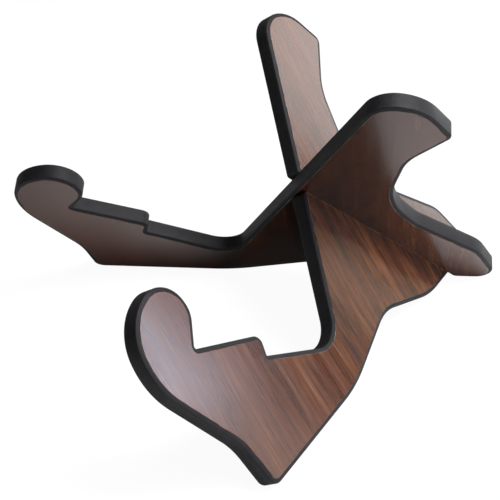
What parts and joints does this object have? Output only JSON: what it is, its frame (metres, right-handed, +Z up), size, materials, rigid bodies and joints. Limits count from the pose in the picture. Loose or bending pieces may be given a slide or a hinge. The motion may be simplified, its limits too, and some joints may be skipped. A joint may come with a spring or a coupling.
{
  "type": "guitar stand",
  "caption": "Knock-down guitar stand of matching curved boards that cross at a right angle, with curled arms, stepped seats and tall backrest horns.",
  "frame": {"origin": "centre of the footprint's bounding box, on the floor", "axes": "+Z up; the curled arms reach towards the front, -Y; the boards mirror each other across the plane X = 0"},
  "size_m": [0.352, 0.3794, 0.2376],
  "materials": {
    "black_edge": "satin",
    "rosewood_veneer": "satin varnish"
  },
  "bodies": {
    "right_board": {"right_core": "black_edge", "right_top_veneer": "rosewood_veneer", "right_under_veneer": "rosewood_veneer"},
    "left_board": {"left_core": "black_edge", "left_top_veneer": "rosewood_veneer", "left_under_veneer": "rosewood_veneer"}
  },
  "joints": [
    {"name": "half_lap_slide", "type": "slide", "parent": "right_board", "child": "left_board", "axis": [0, -0.7647, 0.6444], "range_m": [0, 0.1]}
  ]
}
